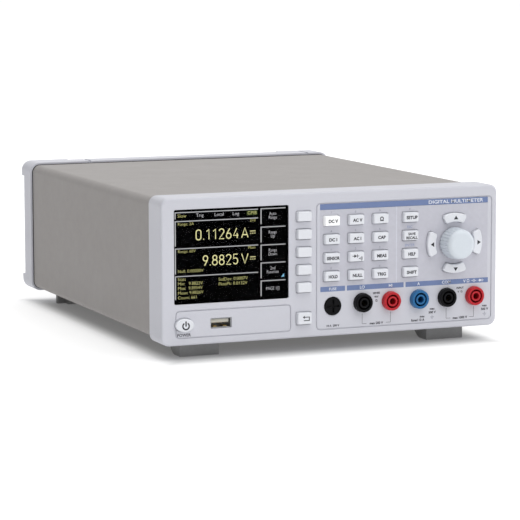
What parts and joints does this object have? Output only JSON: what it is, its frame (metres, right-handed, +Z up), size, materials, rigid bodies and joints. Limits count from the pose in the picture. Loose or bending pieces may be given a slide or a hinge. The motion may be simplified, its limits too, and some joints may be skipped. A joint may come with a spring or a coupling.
{
  "type": "bench multimeter",
  "caption": "Half-rack bench digital multimeter with display window, push keys, push-and-turn knob, shrouded test sockets, fuse holder, tilt legs and mains inlet.",
  "frame": {"origin": "middle of the overall box, on the surface the feet stand on", "axes": "+Z up, the front panel faces -Y, +X to the right seen from the front"},
  "size_m": [0.222, 0.292, 0.097],
  "materials": {
    "bezel_plastic": "fine-textured light grey moulding",
    "sleeve_paint": "fine-textured grey powder paint",
    "key_plastic": "smooth off-white moulding",
    "knob_plastic": "satin pale blue-grey moulding",
    "foot_plastic": "grey moulded plastic",
    "window_glass": "clear flat pane",
    "display_black": "dark display face",
    "mat_rubber": "soft matt silicone",
    "circuit_board": "green solder mask",
    "dark_plastic": "dark moulding",
    "steel": "plain plated sheet",
    "black_plastic": "black moulding",
    "red_plastic": "red moulding",
    "blue_plastic": "blue moulding",
    "contact_brass": "turned and plated",
    "fuse_glass": "glass tube with metal end bands",
    "transformer_iron": "laminated core with varnished winding",
    "chrome_metal": "nickel plated"
  },
  "bodies": {
    "case": {"front_bezel": "bezel_plastic", "display_window": "window_glass", "display_module": "display_black", "keypad_mat": "mat_rubber", "front_board": "circuit_board", "encoder_body": "dark_plastic", "usb_host_port": "steel", "socket_sense_low": "black_plastic", "socket_sense_high": "red_plastic", "socket_current": "blue_plastic", "socket_common": "black_plastic", "socket_volts": "red_plastic", "socket_contacts": "contact_brass", "fuse_holder": "black_plastic", "case_sleeve": "sleeve_paint", "rear_frame": "bezel_plastic", "rear_panel": "sleeve_paint", "chassis_tray": "steel", "main_board": "circuit_board", "shield_can": "steel", "mains_transformer": "transformer_iron", "power_entry": "black_plastic", "interface_module": "steel", "trigger_bnc": "chrome_metal", "case_feet": "foot_plastic", "case_screws": "steel"},
    "tilt_leg_left": {"tilt_leg_left": "foot_plastic"},
    "tilt_leg_right": {"tilt_leg_right": "foot_plastic"},
    "encoder_rotor": {"encoder_rotor": "steel"},
    "knob": {"knob": "knob_plastic"},
    "fuse_link": {"fuse_link": "fuse_glass"},
    "fuse_cap": {"fuse_cap": "black_plastic"},
    "mains_rocker": {"mains_rocker": "black_plastic"},
    "key_dc_volts": {"key_dc_volts": "key_plastic"},
    "key_ac_volts": {"key_ac_volts": "key_plastic"},
    "key_ohms": {"key_ohms": "key_plastic"},
    "key_setup": {"key_setup": "key_plastic"},
    "key_dc_current": {"key_dc_current": "key_plastic"},
    "key_ac_current": {"key_ac_current": "key_plastic"},
    "key_capacitance": {"key_capacitance": "key_plastic"},
    "key_recall": {"key_recall": "key_plastic"},
    "key_sensor": {"key_sensor": "key_plastic"},
    "key_diode": {"key_diode": "key_plastic"},
    "key_measure": {"key_measure": "key_plastic"},
    "key_help": {"key_help": "key_plastic"},
    "key_hold": {"key_hold": "key_plastic"},
    "key_null": {"key_null": "key_plastic"},
    "key_trigger": {"key_trigger": "key_plastic"},
    "key_shift": {"key_shift": "key_plastic"},
    "softkey_1": {"softkey_1": "key_plastic"},
    "softkey_2": {"softkey_2": "key_plastic"},
    "softkey_3": {"softkey_3": "key_plastic"},
    "softkey_4": {"softkey_4": "key_plastic"},
    "softkey_5": {"softkey_5": "key_plastic"},
    "key_return": {"key_return": "key_plastic"},
    "key_power": {"key_power": "key_plastic"},
    "key_up": {"key_up": "key_plastic"},
    "key_down": {"key_down": "key_plastic"},
    "key_left": {"key_left": "key_plastic"},
    "key_right": {"key_right": "key_plastic"}
  },
  "joints": [
    {"name": "tilt_leg_left_hinge", "type": "hinge", "parent": "case", "child": "tilt_leg_left", "pos_m": [-0.082, -0.1085, 0.0062], "axis": [-1, 0, 0], "range_deg": [0, 100]},
    {"name": "tilt_leg_right_hinge", "type": "hinge", "parent": "case", "child": "tilt_leg_right", "pos_m": [0.082, -0.1085, 0.0062], "axis": [-1, 0, 0], "range_deg": [0, 100]},
    {"name": "knob_turn", "type": "hinge", "parent": "case", "child": "encoder_rotor", "pos_m": [0.0811, -0.134, 0.062], "axis": [0, -1, 0], "continuous": true},
    {"name": "knob_push", "type": "slide", "parent": "encoder_rotor", "child": "knob", "axis": [0, 1, 0], "range_m": [0, 0.0005], "stiffness_N_per_m": 2000},
    {"name": "fuse_draw", "type": "slide", "parent": "case", "child": "fuse_link", "axis": [0, -1, 0], "range_m": [0, 0.04]},
    {"name": "fuse_cap_turn", "type": "hinge", "parent": "fuse_link", "child": "fuse_cap", "pos_m": [-0.0005, -0.134, 0.0272], "axis": [0, -1, 0], "range_deg": [-90, 0]},
    {"name": "mains_rocker_hinge", "type": "hinge", "parent": "case", "child": "mains_rocker", "pos_m": [-0.043, 0.131, 0.038], "axis": [-1, 0, 0], "range_deg": [0, 20]},
    {"name": "key_dc_volts_press", "type": "slide", "parent": "case", "child": "key_dc_volts", "axis": [0, 1, 0], "range_m": [0, 0.0009], "stiffness_N_per_m": 700},
    {"name": "key_ac_volts_press", "type": "slide", "parent": "case", "child": "key_ac_volts", "axis": [0, 1, 0], "range_m": [0, 0.0009], "stiffness_N_per_m": 700},
    {"name": "key_ohms_press", "type": "slide", "parent": "case", "child": "key_ohms", "axis": [0, 1, 0], "range_m": [0, 0.0009], "stiffness_N_per_m": 700},
    {"name": "key_setup_press", "type": "slide", "parent": "case", "child": "key_setup", "axis": [0, 1, 0], "range_m": [0, 0.0009], "stiffness_N_per_m": 700},
    {"name": "key_dc_current_press", "type": "slide", "parent": "case", "child": "key_dc_current", "axis": [0, 1, 0], "range_m": [0, 0.0009], "stiffness_N_per_m": 700},
    {"name": "key_ac_current_press", "type": "slide", "parent": "case", "child": "key_ac_current", "axis": [0, 1, 0], "range_m": [0, 0.0009], "stiffness_N_per_m": 700},
    {"name": "key_capacitance_press", "type": "slide", "parent": "case", "child": "key_capacitance", "axis": [0, 1, 0], "range_m": [0, 0.0009], "stiffness_N_per_m": 700},
    {"name": "key_recall_press", "type": "slide", "parent": "case", "child": "key_recall", "axis": [0, 1, 0], "range_m": [0, 0.0009], "stiffness_N_per_m": 700},
    {"name": "key_sensor_press", "type": "slide", "parent": "case", "child": "key_sensor", "axis": [0, 1, 0], "range_m": [0, 0.0009], "stiffness_N_per_m": 700},
    {"name": "key_diode_press", "type": "slide", "parent": "case", "child": "key_diode", "axis": [0, 1, 0], "range_m": [0, 0.0009], "stiffness_N_per_m": 700},
    {"name": "key_measure_press", "type": "slide", "parent": "case", "child": "key_measure", "axis": [0, 1, 0], "range_m": [0, 0.0009], "stiffness_N_per_m": 700},
    {"name": "key_help_press", "type": "slide", "parent": "case", "child": "key_help", "axis": [0, 1, 0], "range_m": [0, 0.0009], "stiffness_N_per_m": 700},
    {"name": "key_hold_press", "type": "slide", "parent": "case", "child": "key_hold", "axis": [0, 1, 0], "range_m": [0, 0.0009], "stiffness_N_per_m": 700},
    {"name": "key_null_press", "type": "slide", "parent": "case", "child": "key_null", "axis": [0, 1, 0], "range_m": [0, 0.0009], "stiffness_N_per_m": 700},
    {"name": "key_trigger_press", "type": "slide", "parent": "case", "child": "key_trigger", "axis": [0, 1, 0], "range_m": [0, 0.0009], "stiffness_N_per_m": 700},
    {"name": "key_shift_press", "type": "slide", "parent": "case", "child": "key_shift", "axis": [0, 1, 0], "range_m": [0, 0.0009], "stiffness_N_per_m": 700},
    {"name": "softkey_1_press", "type": "slide", "parent": "case", "child": "softkey_1", "axis": [0, 1, 0], "range_m": [0, 0.0009], "stiffness_N_per_m": 700},
    {"name": "softkey_2_press", "type": "slide", "parent": "case", "child": "softkey_2", "axis": [0, 1, 0], "range_m": [0, 0.0009], "stiffness_N_per_m": 700},
    {"name": "softkey_3_press", "type": "slide", "parent": "case", "child": "softkey_3", "axis": [0, 1, 0], "range_m": [0, 0.0009], "stiffness_N_per_m": 700},
    {"name": "softkey_4_press", "type": "slide", "parent": "case", "child": "softkey_4", "axis": [0, 1, 0], "range_m": [0, 0.0009], "stiffness_N_per_m": 700},
    {"name": "softkey_5_press", "type": "slide", "parent": "case", "child": "softkey_5", "axis": [0, 1, 0], "range_m": [0, 0.0009], "stiffness_N_per_m": 700},
    {"name": "key_return_press", "type": "slide", "parent": "case", "child": "key_return", "axis": [0, 1, 0], "range_m": [0, 0.0009], "stiffness_N_per_m": 700},
    {"name": "key_power_press", "type": "slide", "parent": "case", "child": "key_power", "axis": [0, 1, 0], "range_m": [0, 0.0009], "stiffness_N_per_m": 700},
    {"name": "key_up_press", "type": "slide", "parent": "case", "child": "key_up", "axis": [0, 1, 0], "range_m": [0, 0.0009], "stiffness_N_per_m": 700},
    {"name": "key_down_press", "type": "slide", "parent": "case", "child": "key_down", "axis": [0, 1, 0], "range_m": [0, 0.0009], "stiffness_N_per_m": 700},
    {"name": "key_left_press", "type": "slide", "parent": "case", "child": "key_left", "axis": [0, 1, 0], "range_m": [0, 0.0009], "stiffness_N_per_m": 700},
    {"name": "key_right_press", "type": "slide", "parent": "case", "child": "key_right", "axis": [0, 1, 0], "range_m": [0, 0.0009], "stiffness_N_per_m": 700}
  ]
}
